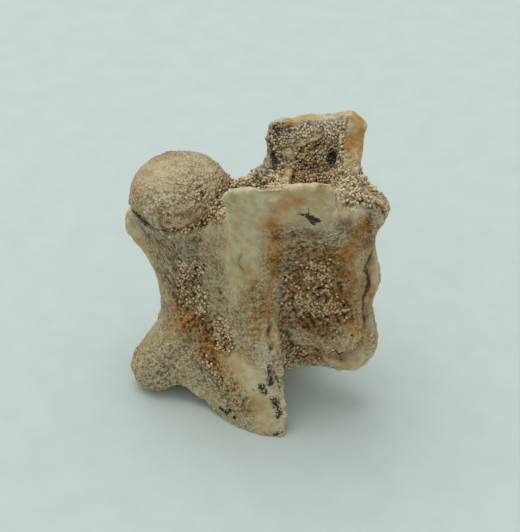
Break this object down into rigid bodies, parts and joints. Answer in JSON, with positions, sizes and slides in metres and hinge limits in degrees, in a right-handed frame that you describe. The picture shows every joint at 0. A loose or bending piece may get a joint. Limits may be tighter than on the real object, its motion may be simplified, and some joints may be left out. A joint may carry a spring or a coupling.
{
  "type": "fossil sea snake vertebra",
  "caption": "Trunk vertebra of an extinct sea snake, standing on its front end, with a ball joint, a keel, a broken neural spine and flaring wings.",
  "frame": {"origin": "centre of the bounding box's base, on the floor that the bone stands on", "axes": "+Z towards the animal's tail, which is up as it stands, +X towards the animal's back and Y across the animal, with the bone's right side at -Y"},
  "size_m": [0.0218, 0.0134, 0.0247],
  "materials": {
    "fossil_bone": "matt, worn smooth on the edges and crusted with phosphate sand in the hollows"
  },
  "bodies": {
    "root": {"vertebra": "fossil_bone"}
  },
  "joints": []
}
